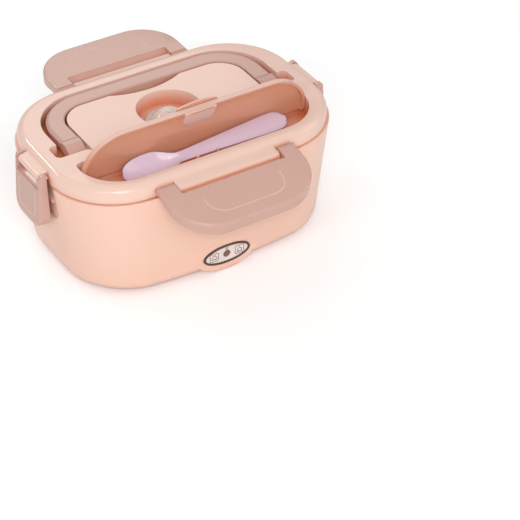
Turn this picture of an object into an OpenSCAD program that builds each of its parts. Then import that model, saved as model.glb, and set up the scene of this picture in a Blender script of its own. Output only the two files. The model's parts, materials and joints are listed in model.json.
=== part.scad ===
// Electric lunch box: heated base, clip-down lid with carry handle, spoon compartment and food container.
// Millimetres. +Z is up, the control panel faces -Y, and the origin lies on the table under the middle.

/* [Lid] */
// Half of the lid's length
lid_half_x = 111.2; // [109:0.1:116]
// Half of the lid's width
lid_half_y = 72.4; // [71.5:0.1:77]
// Corner radius of the lid's outline
lid_corner_r = 52.6; // [50:0.1:55]
// Height of the lid from its parting line to the deck
lid_h = 12.2; // [11.8:0.1:14]
// Radius of the rounded upper edge
lid_edge_r = 7; // [5:0.1:7.5]
// Wall thickness of the lid moulding
lid_wall = 2.4; // [2:0.1:2.6]
// Wall thickness of the pockets sunk into the deck
pocket_wall = 1.6; // [1.2:0.1:1.8]
// Gap between the lid's skirt and the base
parting_gap = 0.3; // [0.2:0.1:0.6]
// Height of the inner pan from its floor to its flange
pan_h = 10.4; // [9.6:0.1:11]
// Wall thickness of the inner pan
pan_wall = 1.4; // [1:0.1:1.6]
// Width of the soft seal between lid and base
seal_w = 3; // [2:0.1:3.2]

/* [Carry handle] */
// Distance from the lid's ends to the centre of each handle arm
handle_side_in = 29.7; // [29.2:0.1:32]
// Distance from the lid's rear edge to the centre of the grip bar
handle_rear_in = 21.3; // [20.4:0.1:23]
// Bend radius at the centre of the bar
handle_bend_r = 29.5; // [24:0.5:31]
// Width of the bar seen from above
handle_w = 13.8; // [12:0.1:14]
// Thickness of the bar
handle_t = 8; // [6.5:0.1:8.5]
// Height of the bar above the deck
handle_proud = 0.7; // [0:0.1:2]
// Distance of the handle pivot from the middle, towards the front
handle_pivot_front = 2.5; // [1.5:0.1:3]
// Depth of the handle pivot under the deck
handle_pivot_drop = 6.5; // [6:0.1:7]
// Radius of the handle pivot studs
handle_stud_r = 2.5; // [1.5:0.1:2.8]
// Depth of the groove that holds the handle
groove_depth = 11; // [10:0.1:11.3]
// Free space inside the handle
groove_gap_in = 1.6; // [1:0.1:2]
// Free space outside the handle
groove_gap_out = 4.2; // [3:0.1:4.6]
// Length of the finger scoop behind the middle panel
scoop_half = 30; // [20:0.5:36]
// Depth of the finger scoop
scoop_depth = 7.2; // [4:0.1:8]

/* [Spoon compartment] */
// Width of the deck beside the compartment's ends
comp_side_in = 18.2; // [17.2:0.1:22]
// Width of the deck in front of the compartment
comp_front_in = 10.4; // [10.2:0.1:12]
// Distance of the compartment's rear edge from the middle
comp_rear = 23.1; // [21:0.1:24]
// Radius of the compartment's front corners
comp_front_r = 32.5; // [31:0.1:34]
// Radius of the compartment's rear corners
comp_rear_r = 5; // [3:0.1:7]
// Depth of the compartment
comp_depth = 14.9; // [14.6:0.1:15]
// Gap around the closed cover
cover_gap = 0.7; // [0.4:0.1:1]
// Thickness of the cover's plate
cover_t = 1.6; // [1.2:0.1:1.7]
// Height of the cover with its rim
cover_rim_h = 4; // [3:0.1:4.5]
// Width of the cover's rim
cover_rim_w = 2.2; // [1.6:0.1:2.6]
// Distance of the cover's pivot behind which its short rear edge dips
cover_pivot_back = 10.3; // [9:0.1:10.8]
// Radius of the cover's pivot pins
cover_pin_r = 1.1; // [0.8:0.05:1.3]
// Opening angle of the cover in the stored position
cover_open = 79; // [60:1:84]
// Half of the width of the cover's thumb tab
tab_half = 16.5; // [12:0.5:20]
// Reach of the thumb tab past the cover's edge
tab_reach = 3; // [2:0.1:4]

/* [Spoon] */
// Length of the spoon
spoon_len = 137; // [125:1:140]
// Length of the spoon's bowl
bowl_len = 46; // [42:0.5:50]
// Width of the spoon's bowl
bowl_w = 26.1; // [24:0.1:26.6]
// Depth of the bowl
bowl_depth = 6.8; // [5:0.1:6.9]
// Width of the neck
neck_w = 9; // [7:0.1:11]
// Greatest width of the spoon's handle
grip_w = 17; // [14:0.1:17.2]
// Thickness of the spoon
spoon_t = 1.9; // [1.5:0.1:2]

/* [Vent] */
// Radius of the recess around the steam vent
vent_r = 24.4; // [21:0.1:25]
// Distance of the vent from the middle, towards the rear
vent_rear = 5.6; // [4.5:0.1:8]
// Depth of the vent recess
vent_depth = 12; // [10:0.1:12.6]
// Radius of the silicone plug's flange
plug_flange_r = 17.5; // [15:0.1:19]
// Radius of the plug's dome
plug_dome_r = 13.6; // [11:0.1:14]
// Radius of the hole that the plug closes
plug_hole_r = 6; // [4:0.1:7]

/* [Latches] */
// Half of the width of the front and rear latches
wide_half = 56; // [54:0.1:58]
// Half of the width of the side latches
slim_half = 19.5; // [18:0.1:22]
// Length of the wide latches below their pivot
wide_len = 46.5; // [44:0.1:48]
// Length of the side latches below their pivot
slim_len = 42.7; // [40:0.1:45]
// Corner radius of the wide latches
wide_corner_r = 32; // [26:0.5:33]
// Corner radius of the side latches
slim_corner_r = 10.5; // [6:0.1:12]
// Half of the length of the front and rear hinge tongues
wide_tongue_half = 41.2; // [36:0.1:42]
// Half of the length of the side hinge tongues
slim_tongue_half = 15.4; // [13.5:0.1:15.6]
// Distance of the latch pivots outside the lid's edge
pivot_out = 4; // [3.9:0.1:4.5]
// Depth of the latch pivots under the deck
pivot_drop = 7.4; // [7:0.1:8]
// Radius of the studs that the latches turn on
stud_r = 2; // [1.5:0.05:2.2]
// Distance of the latch face outside the pivot
face_out = 4; // [3.9:0.1:4.4]
// Thickness of the latch face
latch_wall = 2; // [1.6:0.1:2.4]
// Depth of the latch at its pivot
latch_deep_top = 5.8; // [5.5:0.1:6]
// Extra depth of the latch at the wide latch's tip
latch_deepen = 4.2; // [3.4:0.1:4.3]
// Free slot between tongue and latch face, measured down from the pivot
slot_end = 9.5; // [9:0.1:12]
// Opening angle of the front latch's face from the vertical
front_open = 76; // [20:1:90]
// Opening angle of the rear latch's face from the vertical
rear_open = 91; // [20:1:95]
// Angle of the side latches' faces from the vertical, a little unsnapped
side_open = 3.5; // [3.5:0.1:8]

/* [Base] */
// Height of the room for the electrics, from the table to the well's floor
bay_h = 22; // [22:0.5:28]
// How far the base's upper edge stands out past the lid
base_lip = 1.8; // [1.5:0.1:1.8]
// Wall thickness of the base
base_wall = 2.4; // [2:0.1:2.8]
// Thickness of the base's floor rim
base_floor = 4.4; // [4:0.1:5]
// How far the lower outline lies inside the upper one at the ends
base_draft_x = 8.5; // [6:0.1:9]
// How far the lower corners lie inside the upper ones at front and rear
base_draft_y = 9.6; // [7:0.1:10]
// How far the lower front and rear walls bow out in the middle
base_bow = 10; // [8:0.1:10]
// Corner radius of the lower outline
base_low_r = 46; // [42:0.5:48]
// Height of the rounded bottom edge
base_round_h = 9; // [7:0.1:10]
// Depth of the rounded bottom edge
base_round_w = 8.2; // [6:0.1:9]
// Height of the feet
foot_h = 2.3; // [1.6:0.1:4]
// Radius of the feet
foot_r = 7; // [5:0.1:8]
// Half of the width of the oval boss that carries the panel
boss_half = 25; // [23:0.1:28]
// Half of the height of the oval boss
boss_half_h = 13.5; // [12:0.1:13.6]

/* [Well and heater] */
// Gap between the container and the well at the top
well_gap = 1.3; // [0.8:0.1:1.6]
// Depth of the heated well
well_depth = 61; // [58:0.5:61.5]
// How far the well narrows from top to bottom
well_draft = 7; // [5:0.1:8]
// Wall thickness of the well
well_wall = 1.5; // [1:0.1:1.6]
// Thickness of the aluminium heating plate
plate_t = 2.4; // [1.8:0.1:2.6]
// Half of the heating plate's length
plate_half_x = 84; // [70:0.5:88]
// Half of the heating plate's width
plate_half_y = 46; // [38:0.5:49]
// Length of the heater
heater_len = 62; // [50:1:80]
// Width of the heater
heater_w = 26; // [20:0.5:36]
// Thickness of the heater
heater_t = 6; // [4:0.1:7]
// Radius of the screws' shanks
screw_r = 1.5; // [1.2:0.05:1.6]

/* [Container] */
// Wall thickness of the food container
tub_wall = 1.4; // [1:0.1:1.8]
// Distance of the container's rim below the base's upper edge
tub_sunk = 9; // [8.9:0.1:12]
// Width of the container's rim
tub_rim_w = 2.4; // [1.6:0.1:3]
// Height of the container's rim
tub_rim_h = 3; // [2:0.1:4]
// How far the container narrows from top to bottom
tub_draft = 4; // [2:0.1:5]
// Radius of the container's bottom edge
tub_round = 12; // [9:0.1:13]
// Distance of the divider from the middle
divider_x = 30; // [10:0.5:40]
// Width of the divider at its top
divider_w = 5; // [4:0.1:7]
// Thickness of the small lid's plate
cap_t = 1.2; // [0.8:0.1:1.4]

/* [Hidden] */
$fn = 64;

// Small clearances between pieces that do not move against each other, and between those that turn
seat = 0.1;
turn = 0.06;
skin = 0.01;

// Heights
well_floor = bay_h;
well_lip = 0.5;
base_top = well_floor + well_depth + well_lip;
parting_z = base_top + parting_gap;
deck_z = parting_z + lid_h;
comp_floor = deck_z - comp_depth;

// Places in the deck, measured from the lid's edges
handle_half = lid_half_x - handle_side_in;
handle_rear = lid_half_y - handle_rear_in;
comp_half = lid_half_x - comp_side_in;
comp_front = lid_half_y - comp_front_in;

// The spoon leans back: its tip, how far it turns, and how far its rear edge is raised
spoon_yaw = 2.6;
spoon_tilt = 16;
spoon_tip = [-67, 13.9 - comp_front, comp_floor - seat + (bowl_depth + spoon_t) / cos(spoon_tilt)];
rest_top = spoon_tip[2] - spoon_t - 0.35;
groove_floor = deck_z - groove_depth;
pocket_floor = groove_floor - 1;
vent_floor = deck_z - vent_depth;
pan_top = parting_z + 3.7;
pan_floor = pan_top - pan_h;
base_low = foot_h;
base_turn = base_low + base_round_h;
floor_top = base_low + base_floor;
well_top = base_top;
flange_t = 2;
plate_top = well_floor + 1;
tub_low = plate_top + seat;
tub_top = base_top - tub_sunk;

// Insets of the nested outlines, measured inwards from the lid's edge
rebate_in = 1.8;
ledge_in = 4.2;
well_in = 5.9;
pan_in = well_in + 0.9;
tub_in = well_in + well_gap + well_draft * (well_top - tub_top) / well_depth;

// ---------------------------------------------------------------- shared outlines

// Rounded rectangle, given by half sizes and corner radius
module plate2d(hx, hy, r) {
    square([2 * (hx - r), 2 * hy], center = true);
    square([2 * hx, 2 * (hy - r)], center = true);
    for (sx = [-1, 1], sy = [-1, 1])
        translate([sx * (hx - r), sy * (hy - r)]) circle(r, $fn = 96);
}

// The lid's outline moved inwards
module lid2d(inset) {
    plate2d(lid_half_x - inset, lid_half_y - inset, lid_corner_r - inset);
}

// Sweeps a profile round a rounded rectangle. In the profile, x = 0 lies on the outline and y is height
module around(hx, hy, r) {
    for (corner = [[1, 1, 0], [-1, 1, 90], [-1, -1, 180], [1, -1, 270]])
        translate([corner[0] * (hx - r), corner[1] * (hy - r), 0]) rotate(corner[2])
            rotate_extrude(angle = 90, $fn = 96) translate([r, 0]) children();
    for (half = [0, 180]) rotate(half) {
        translate([-(hx - r), hy - r, 0]) rotate([90, 0, 90])
            linear_extrude(2 * (hx - r)) translate([r, 0]) children();
        translate([hx - r, hy - r, 0]) rotate([90, 0, 0])
            linear_extrude(2 * (hy - r)) translate([r, 0]) children();
    }
}

// The same sweep round the lid's outline
module around_lid() {
    around(lid_half_x, lid_half_y, lid_corner_r) children();
}

// A D shape with a straight rear edge, big front corners and small rear corners
module d2d(half, front, rear, front_r, rear_r) {
    polygon([[-half, -rear - rear_r], [-half, -front + front_r], [-half + front_r, -front],
             [half - front_r, -front], [half, -front + front_r], [half, -rear - rear_r],
             [half - rear_r, -rear], [-half + rear_r, -rear]]);
    for (turned = [0, 1]) mirror([turned, 0]) {
        translate([half - front_r, -front + front_r]) intersection() {
            circle(front_r, $fn = 96);
            translate([-skin, -front_r]) square([front_r + skin, front_r + skin]);
        }
        translate([half - rear_r, -rear - rear_r]) circle(rear_r, $fn = 48);
    }
}

// Points of an ellipse
function ellipse_points(a, b, n = 64) = [for (i = [0 : n - 1]) [a * cos(360 * i / n), b * sin(360 * i / n)]];

// One of the four sides: 0 is the front, then right, rear and left
module on_side(turns) {
    rotate(90 * turns) children();
}

// Distance from the middle to the lid's edge on a side
function edge_of(turns) = turns % 2 == 0 ? lid_half_y : lid_half_x;

// ---------------------------------------------------------------- base

// Outline of the base as a ring of points: a rounded rectangle whose long sides bow out
function ring(hx, hy, r, bow, arc = 18, side = 5) =
    let (corner = function (cx, cy, start)
            [for (i = [0 : arc]) [cx + r * cos(start + 90 * i / arc), cy + r * sin(start + 90 * i / arc)]],
         along = function (x0, x1, y) [for (i = [1 : side]) [x0 + (x1 - x0) * i / (side + 1), y]],
         flat = concat(corner(hx - r, hy - r, 0), along(hx - r, r - hx, hy),
                       corner(r - hx, hy - r, 90), corner(r - hx, r - hy, 180),
                       along(r - hx, hx - r, -hy), corner(hx - r, r - hy, 270)))
    [for (p = flat) [p[0], p[1] + sign(p[1]) * bow * (1 - pow(p[0] / hx, 2)) * min(1, abs(p[1]) / (hy - r))]];

// Skin through rings of points, lowest first; all rings have as many points
module loft(rings, heights) {
    n = len(rings[0]);
    k = len(rings);
    polyhedron(
        points = [for (j = [0 : k - 1]) for (p = rings[j]) [p[0], p[1], heights[j]]],
        faces = concat([[for (i = [0 : n - 1]) i]],
                       [for (j = [0 : k - 2]) for (i = [0 : n - 1])
                           [j * n + i, (j + 1) * n + i, (j + 1) * n + (i + 1) % n, j * n + (i + 1) % n]],
                       [[for (i = [n - 1 : -1 : 0]) (k - 1) * n + i]]),
        convexity = 6);
}

// The base's body, shrunk on all sides by inset, from its own floor up to a height
module base_body(inset, low, high) {
    steps = 6;
    turn_z = base_turn;
    out_x = lid_half_x + base_lip - inset;
    out_y = lid_half_y + base_lip - inset;
    out_r = lid_corner_r + base_lip - inset;
    round_w = base_round_w - inset / 2;
    mid_y = out_y - base_draft_y;
    rise = (high - turn_z) / (base_top - turn_z);
    lows = [for (i = [0 : steps]) round_w * (1 - sin(90 * i / steps))];
    rings = concat(
        [for (w = lows) ring(out_x - base_draft_x - w, mid_y - w, base_low_r - inset - w, base_bow)],
        [ring(out_x - base_draft_x * (1 - rise), out_y - base_draft_y * (1 - rise),
              base_low_r - inset + (out_r - base_low_r + inset) * rise, base_bow * (1 - rise))]);
    loft(rings, concat([for (i = [0 : steps]) low + (turn_z - low) * (1 - cos(90 * i / steps))], [high]));
}

// Oval boss that runs straight down where the body's lower edge rounds away
module boss() {
    intersection() {
        translate([0, 0, base_turn - boss_half_h])
            linear_extrude(3 * boss_half_h)
                polygon(ring(lid_half_x + base_lip - base_draft_x, lid_half_y + base_lip - base_draft_y,
                             base_low_r, base_bow));
        translate([0, -lid_half_y + 14, panel_z]) rotate([90, 0, 0])
            linear_extrude(30) polygon(ellipse_points(boss_half, boss_half_h));
    }
}

panel_z = base_low - 1.8 + boss_half_h;
panel_y = -(lid_half_y + base_lip - base_draft_y + base_bow);
panel_half = 19.5;
panel_half_h = 8;
panel_ring = 1.7;
panel_sunk = 1.6;
led_r = 2.85;
socket_half = 9;
socket_half_h = 5.5;

// Recess in the wall behind a latch, open at the top, and the rib that the latch's hook goes under
recess_low = base_top - 28.5;
recess_deep = 2;
rib_z = base_top - 15.5;
rib_h = 2.2;
function recess_half(turns) = turns % 2 == 0 ? 34 : slim_half + 7.5;
// Distance of the wall from the middle at a height, in the middle of a side
function wall_at(turns, z) = turns % 2 == 0
    ? lid_half_y + base_lip - (base_draft_y - base_bow) * (base_top - z) / (base_top - base_turn)
    : lid_half_x + base_lip - base_draft_x * (base_top - z) / (base_top - base_turn);

module latch_recess(turns, deeper = 0) {
    half = recess_half(turns) + deeper;
    inner = wall_at(turns, rib_z) - recess_deep - deeper;
    on_side(turns) translate([0, -inner, 0]) rotate([90, 0, 0]) linear_extrude(12) {
        translate([-half, recess_low + 8 - deeper]) square([2 * half, base_top - recess_low]);
        translate([-half + 8, recess_low - deeper]) square([2 * half - 16, 9]);
        for (s = [-1, 1]) translate([s * (half - 8), recess_low + 8 - deeper]) circle(8);
    }
}

module catch_rib(turns) {
    out = wall_at(turns, rib_z);
    half = recess_half(turns) - 6;
    on_side(turns) translate([-half, 0, 0]) rotate([90, 0, 90]) linear_extrude(2 * half)
        polygon([[-out + recess_deep + 0.5, rib_z], [-out + 0.2, rib_z],
                 [-out + recess_deep + 0.5, rib_z + rib_h + 2]]);
}

cover_half_x = 88;
cover_half_y = 58;
cover_r = 36;
cover_ledge = 10;
bottom_t = 2.2;
screw_spread = cover_r - cover_ledge / 2;

// Places of the four screws, in the corners of the bottom cover
module at_screws() {
    for (sx = [-1, 1], sy = [-1, 1])
        translate([sx * (cover_half_x - cover_r + screw_spread * cos(45)),
                   sy * (cover_half_y - cover_r + screw_spread * sin(45)), 0]) children();
}

module base_shell() {
    color([0.969, 0.792, 0.710]) difference() {
        union() {
            difference() {
                union() {
                    base_body(0, base_low, base_top);
                    boss();
                    rotate(180) boss();
                }
                difference() {
                    base_body(base_wall, floor_top, base_top - 4.6);
                    for (turns = [0 : 3])
                        intersection() {
                            latch_recess(turns, base_wall);
                            translate([-150, -150, floor_top + 20]) cube([300, 300, 100]);
                        }
                    translate([0, panel_y + 4.6, panel_z]) rotate([90, 0, 0])
                        linear_extrude(10) polygon(ellipse_points(panel_half + 2, panel_half_h + 2));
                    rotate(180) translate([0, panel_y + 4.6, panel_z]) rotate([90, 0, 0])
                        linear_extrude(10) polygon(ellipse_points(socket_half + 3, socket_half_h + 3));
                }
                // Mouth of the base: the well hangs through it and its flange lies in the rebate
                translate([0, 0, base_top - 5]) linear_extrude(10) lid2d(ledge_in);
                translate([0, 0, base_top - flange_t]) linear_extrude(10) lid2d(rebate_in);
                for (turns = [0 : 3]) latch_recess(turns);
                // Opening in the floor and the rebate for the bottom cover
                translate([0, 0, -1]) linear_extrude(floor_top + 2)
                    plate2d(cover_half_x - cover_ledge, cover_half_y - cover_ledge, cover_r - cover_ledge);
                translate([0, 0, -1]) linear_extrude(base_low + bottom_t + 1)
                    plate2d(cover_half_x + seat, cover_half_y + seat, cover_r + seat);
            }
            for (turns = [0 : 3]) catch_rib(turns);
            at_screws() translate([0, 0, floor_top - skin]) cylinder(r = screw_r + 2, h = 6);
        }
        at_screws() translate([0, 0, base_low]) cylinder(r = screw_r - 0.1, h = base_floor + 5.2);
        // Seat of the panel, and the hole for its light
        translate([0, panel_y + panel_sunk, panel_z]) rotate([90, 0, 0])
            linear_extrude(6) polygon(ellipse_points(panel_half + seat, panel_half_h + seat));
        translate([0, panel_y + 12, panel_z]) rotate([90, 0, 0]) cylinder(r = led_r + seat, h = 20);
        // Power inlet at the rear
        rotate(180) translate([0, panel_y + 12, panel_z]) rotate([90, 0, 0])
            linear_extrude(20) inlet2d(seat);
    }
}

// Figure-of-eight outline of the power inlet
module inlet2d(grow) {
    for (s = [-1, 1]) translate([s * (socket_half - socket_half_h), 0]) circle(socket_half_h + grow);
    square([2 * (socket_half - socket_half_h), 2 * (socket_half_h + grow) - 2], center = true);
}

module bottom_cover() {
    color([0.90, 0.72, 0.64]) difference() {
        translate([0, 0, base_low]) linear_extrude(bottom_t - seat) plate2d(cover_half_x, cover_half_y, cover_r);
        at_screws() {
            translate([0, 0, -1]) cylinder(r = screw_r + 0.2, h = 10);
            translate([0, 0, -1]) cylinder(r = 2 * screw_r + 0.2, h = base_low + 2.2);
        }
        // Cooling slots under the heater
        for (i = [-3 : 3]) translate([i * 9 - 1.5, -14, -1]) cube([3, 28, 10]);
    }
}

module cover_screws() {
    color([0.62, 0.62, 0.64]) at_screws() {
        translate([0, 0, base_low + 0.2]) cylinder(r = 2 * screw_r, h = 1);
        translate([0, 0, base_low + 1]) cylinder(r = screw_r - 0.1, h = base_floor + 3);
    }
}

module rubber_feet() {
    color([0.30, 0.27, 0.26])
        for (sx = [-1, 1], sy = [-1, 1])
            translate([sx * (cover_half_x - 28), sy * (cover_half_y - 16), 0]) {
                cylinder(r = foot_r, h = base_low - 0.8);
                cylinder(r = foot_r - 1, h = base_low);
            }
}

// ---------------------------------------------------------------- panel

module on_panel(depth) {
    translate([0, panel_y + depth, panel_z]) rotate([90, 0, 0]) children();
}

led_depth = 4;
board_depth = 6.6;

module panel_bezel() {
    color([0.36, 0.27, 0.26]) on_panel(panel_sunk) difference() {
        linear_extrude(panel_sunk + 0.5) polygon(ellipse_points(panel_half, panel_half_h));
        translate([0, 0, 0.8]) linear_extrude(4)
            polygon(ellipse_points(panel_half - panel_ring, panel_half_h - panel_ring));
        translate([0, 0, -1]) cylinder(r = led_r + seat, h = 4);
    }
}

module panel_plate() {
    color([0.87, 0.83, 0.82]) on_panel(panel_sunk - 0.8) difference() {
        linear_extrude(0.9)
            polygon(ellipse_points(panel_half - panel_ring - seat, panel_half_h - panel_ring - seat));
        translate([0, 0, -1]) cylinder(r = led_r + seat, h = 4);
    }
}

module led_lens() {
    color([0.45, 0.30, 0.28]) on_panel(led_depth) {
        cylinder(r = led_r, h = 4.2);
        translate([0, 0, 4.2]) intersection() {
            translate([0, 0, -led_r]) sphere(r = led_r * sqrt(2));
            cylinder(r = led_r, h = 2);
        }
    }
}

module indicator_board() {
    color([0.16, 0.42, 0.24]) on_panel(board_depth) {
        translate([-11, -5, -1.4]) cube([22, 10, 1.4]);
        translate([0, 0, -skin]) cylinder(r = 2, h = board_depth - led_depth - seat);
        for (s = [-1, 1]) translate([s * 7, 0, 0]) rotate([0, 90, 0])
            translate([-0.8, 0, -2]) cylinder(r = 0.9, h = 4);
    }
}

// ---------------------------------------------------------------- power inlet

inlet_deep = 15;

module inlet_socket() {
    color([0.12, 0.12, 0.13]) rotate(180) on_panel(inlet_deep) difference() {
        union() {
            linear_extrude(inlet_deep - 0.3) inlet2d(0);
            linear_extrude(3) square([2 * socket_half + 6, 2 * socket_half_h], center = true);
        }
        translate([0, 0, 3]) linear_extrude(20) inlet2d(-1.2);
        for (s = [-1, 1]) translate([s * 4, 0, -1]) cylinder(r = 1.2, h = 20);
    }
}

module inlet_pins() {
    color([0.80, 0.80, 0.82]) rotate(180) on_panel(inlet_deep + 4)
        for (s = [-1, 1]) translate([s * 4, 0, 0]) cylinder(r = 1.15, h = inlet_deep + 1);
}

// ---------------------------------------------------------------- well and heater

plate_r = 28;
plate_seat = 2;

// Half-section of the well: flange, slanted wall, rounded foot and floor
module well_profile() {
    top = [-well_in, well_top];
    foot = [-well_in - well_draft, well_floor];
    round_r = 8;
    difference() {
        union() {
            translate([-well_in - well_wall - 0.5, well_top - flange_t])
                square([well_in + well_wall + 0.5 - rebate_in - seat, flange_t]);
            polygon([[top[0], top[1] - 0.3], [top[0] + well_wall, top[1] - 0.3],
                     [foot[0] + well_wall, foot[1] + round_r], [foot[0] - round_r + well_wall, foot[1] - well_wall],
                     [foot[0] - round_r - 4, foot[1] - well_wall], [foot[0] - round_r - 4, foot[1] + round_r]]);
            translate([foot[0] - round_r, foot[1] + round_r]) circle(round_r + well_wall);
        }
        polygon([[top[0], top[1] + 1], top, [foot[0], foot[1] + round_r], [foot[0] - round_r, foot[1]],
                 [foot[0] - 40, foot[1]], [foot[0] - 40, top[1] + 1]]);
        translate([foot[0] - round_r, foot[1] + round_r]) circle(round_r);
        translate([foot[0] - 60, 0]) square([60 - round_r - 3, 200]);
    }
}

module well_liner() {
    color([0.965, 0.855, 0.80]) difference() {
        union() {
            around_lid() well_profile();
            translate([0, 0, well_floor - well_wall]) linear_extrude(well_wall)
                lid2d(well_in + well_draft + 10);
        }
        translate([0, 0, well_floor - well_wall - 1]) linear_extrude(well_wall + 2)
            plate2d(plate_half_x - 4, plate_half_y - 4, plate_r - 4);
    }
}

module plate_seal() {
    color([0.85, 0.84, 0.83]) translate([0, 0, well_floor + seat / 2]) difference() {
        linear_extrude(0.5) plate2d(plate_half_x - 0.3, plate_half_y - 0.3, plate_r - 0.3);
        translate([0, 0, -1]) linear_extrude(3) plate2d(plate_half_x - 3.6, plate_half_y - 3.6, plate_r - 3.6);
    }
}

module heating_plate() {
    color([0.78, 0.78, 0.80]) {
        translate([0, 0, well_floor + 0.6]) linear_extrude(plate_top - well_floor - 0.6)
            plate2d(plate_half_x, plate_half_y, plate_r);
        translate([0, 0, plate_top - plate_t]) linear_extrude(plate_t - 0.2)
            plate2d(plate_half_x - 4.4, plate_half_y - 4.4, plate_r - 4.4);
    }
}

heater_top = plate_top - plate_t - seat / 2;

module heater_element() {
    color([0.70, 0.71, 0.73]) translate([-heater_len / 2, -heater_w / 2, heater_top - heater_t])
        difference() {
            cube([heater_len, heater_w, heater_t]);
            // Slots between the ceramic core and its two aluminium rails
            for (y = [5, heater_w - 6]) translate([3, y, -1]) cube([heater_len - 6, 1, heater_t - 0.5]);
        }
}

bracket_t = 1;

module heater_bracket() {
    color([0.82, 0.82, 0.84]) difference() {
        translate([-9, -heater_w / 2 - 12, heater_top - heater_t - bracket_t - seat / 2]) union() {
            translate([0, 10.8, 0]) cube([18, heater_w + 2.4, bracket_t]);
            for (y = [10.8, heater_w + 13.2 - bracket_t]) translate([0, y, 0])
                cube([18, bracket_t, heater_t + bracket_t]);
            for (y = [0, heater_w + 12.2]) translate([0, y, heater_t + seat / 2])
                cube([18, 11.8, bracket_t]);
        }
        for (s = [-1, 1]) translate([0, s * (heater_w / 2 + 6.5), 0]) cylinder(r = screw_r + 0.1, h = 40);
    }
}

module bracket_screws() {
    color([0.62, 0.62, 0.64]) for (s = [-1, 1])
        translate([0, s * (heater_w / 2 + 6.5), heater_top - bracket_t - 1.2])
            cylinder(r = 2 * screw_r, h = 1);
}

module thermostat() {
    color([0.10, 0.10, 0.11]) translate([56, 0, heater_top - 7]) {
        translate([0, 0, 4]) cylinder(r = 8, h = 3);
        cylinder(r = 6.5, h = 4 + skin);
        for (s = [-1, 1]) translate([s * 4 - 0.4, -2.5, -3]) cube([0.8, 5, 4]);
    }
}

module thermal_fuse() {
    color([0.90, 0.88, 0.82]) translate([-52, -8, heater_top - 2.2]) rotate([-90, 0, 0]) {
        cylinder(r = 2.1, h = 12);
        translate([0, 0, -5]) cylinder(r = 0.5, h = 22);
    }
}

// Unit vector along v
function unit(v) = v / norm(v);

// Direction of a route at its i-th point
function along(points, i) =
    unit((i < len(points) - 1 ? unit(points[i + 1] - points[i]) : [0, 0, 0])
         + (i > 0 ? unit(points[i] - points[i - 1]) : [0, 0, 0]));

// A wire swept along its route as a tube with eight sides
module wire(points, r) {
    sides = 8;
    n = len(points);
    polyhedron(
        points = [for (i = [0 : n - 1])
                     let (t = along(points, i), u = unit(cross([0, 0, 1], t)), v = cross(t, u))
                     for (k = [0 : sides - 1])
                         points[i] + r * (cos(360 * k / sides) * u + sin(360 * k / sides) * v)],
        faces = concat([[for (k = [0 : sides - 1]) k]],
                       [for (i = [0 : n - 2]) for (k = [0 : sides - 1])
                           [i * sides + k, (i + 1) * sides + k, (i + 1) * sides + (k + 1) % sides,
                            i * sides + (k + 1) % sides]],
                       [[for (k = [sides - 1 : -1 : 0]) (n - 1) * sides + k]]));
}

wire_z = 10;
pin_back = -panel_y - inlet_deep - 4;
live_r = 0.9;
signal_r = 0.6;

module wiring() {
    color([0.75, 0.15, 0.14]) {
        // Live lead through the thermostat, neutral lead through the fuse
        wire([[4, pin_back - seat, panel_z], [5, 50, panel_z - 0.5], [20, 40, wire_z], [52, 24, wire_z],
              [59, 12, wire_z + 0.5], [60, 3.5, heater_top - 9]], live_r);
        wire([[-4, pin_back - seat, panel_z], [-5, 50, panel_z - 0.5], [-24, 40, wire_z], [-48, 26, wire_z + 1],
              [-52, 17, heater_top - 3], [-52, 9.5, heater_top - 2.2]], live_r);
        // Short leads on to the heater
        wire([[52, -3.5, heater_top - 9], [48, -8, wire_z], [40, -8, heater_top - 4.5],
              [heater_len / 2 + 4 * seat, -8, heater_top - heater_t / 2]], live_r);
        wire([[-52, -13.5, heater_top - 2.2], [-49, -18, heater_top - 4], [-40, -14, heater_top - 4.5],
              [-heater_len / 2 - 4 * seat, -8, heater_top - heater_t / 2]], live_r);
        // Leads of the indicator light
        for (s = [-1, 1])
            wire([[s * 5, panel_y + board_depth + 1.7, panel_z - 2], [s * 7, -55, wire_z], [s * 30, -36, wire_z],
                  [s * 37, -20, wire_z + 1], [s * 38, -14, wire_z + 3]], signal_r);
    }
}

// ---------------------------------------------------------------- lid

handle_pivot = [0, -handle_pivot_front, deck_z - handle_pivot_drop];
land_front = 10.9;
pocket_back = 5;
pocket_half = 99.7;

// Groove round the middle panel, for the handle; grown outwards by grow for its wall
module groove2d(grow) {
    out = handle_half + handle_w / 2 + groove_gap_out + grow;
    rear = handle_rear + handle_w / 2 + 2 + grow;
    out_r = handle_bend_r + handle_w / 2 + 3 + grow;
    inn = handle_half - handle_w / 2 - groove_gap_in - grow;
    inn_rear = handle_rear - handle_w / 2 - groove_gap_in - grow;
    inn_r = handle_bend_r - handle_w / 2 - groove_gap_in - grow;
    difference() {
        union() {
            for (s = [-1, 1]) translate([s * (out - out_r), rear - out_r]) circle(out_r, $fn = 96);
            translate([-out, -land_front - grow]) square([2 * out, rear - out_r + land_front + grow]);
            translate([-out + out_r, -land_front - grow]) square([2 * (out - out_r), rear + land_front + grow]);
        }
        difference() {
            union() {
                translate([-inn + inn_r, -60]) square([2 * (inn - inn_r), 60 + inn_rear]);
                translate([-inn, -60]) square([2 * inn, 60 + inn_rear - inn_r]);
                for (s = [-1, 1]) translate([s * (inn - inn_r), inn_rear - inn_r]) circle(inn_r, $fn = 96);
            }
            // Finger scoop: a shallow arc cut into the rear edge of the middle panel
            scoop_r = (scoop_half * scoop_half + scoop_depth * scoop_depth) / (2 * scoop_depth);
            translate([0, inn_rear + grow - scoop_depth + scoop_r]) circle(scoop_r + grow, $fn = 180);
        }
    }
}

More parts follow.
